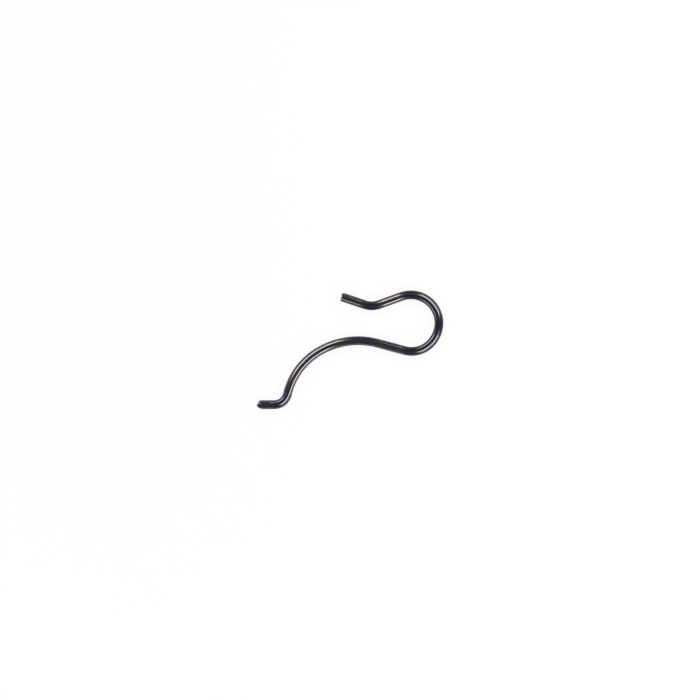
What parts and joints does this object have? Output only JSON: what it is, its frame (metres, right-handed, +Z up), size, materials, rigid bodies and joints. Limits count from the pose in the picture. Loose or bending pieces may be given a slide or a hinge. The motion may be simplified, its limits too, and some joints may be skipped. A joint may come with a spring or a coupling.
{
  "type": "watch yoke spring",
  "caption": "Yoke spring for a wrist watch: blued round steel wire bent in one plane into a loop, a short cranked anchor arm and a long arched arm with a foot.",
  "frame": {"origin": "centre of the loop, on the plane that the spring rests on", "axes": "+X along the foot, from its free end towards the loop; +Y from the foot's side towards the anchor arm's side, in the plane of the spring; +Z up, out of the spring's plane"},
  "size_m": [0.0068, 0.0043, 0.0003],
  "materials": {
    "blued_steel": "polished, dark blue-black oxide"
  },
  "bodies": {
    "root": {"spring_wire": "blued_steel"}
  },
  "joints": []
}
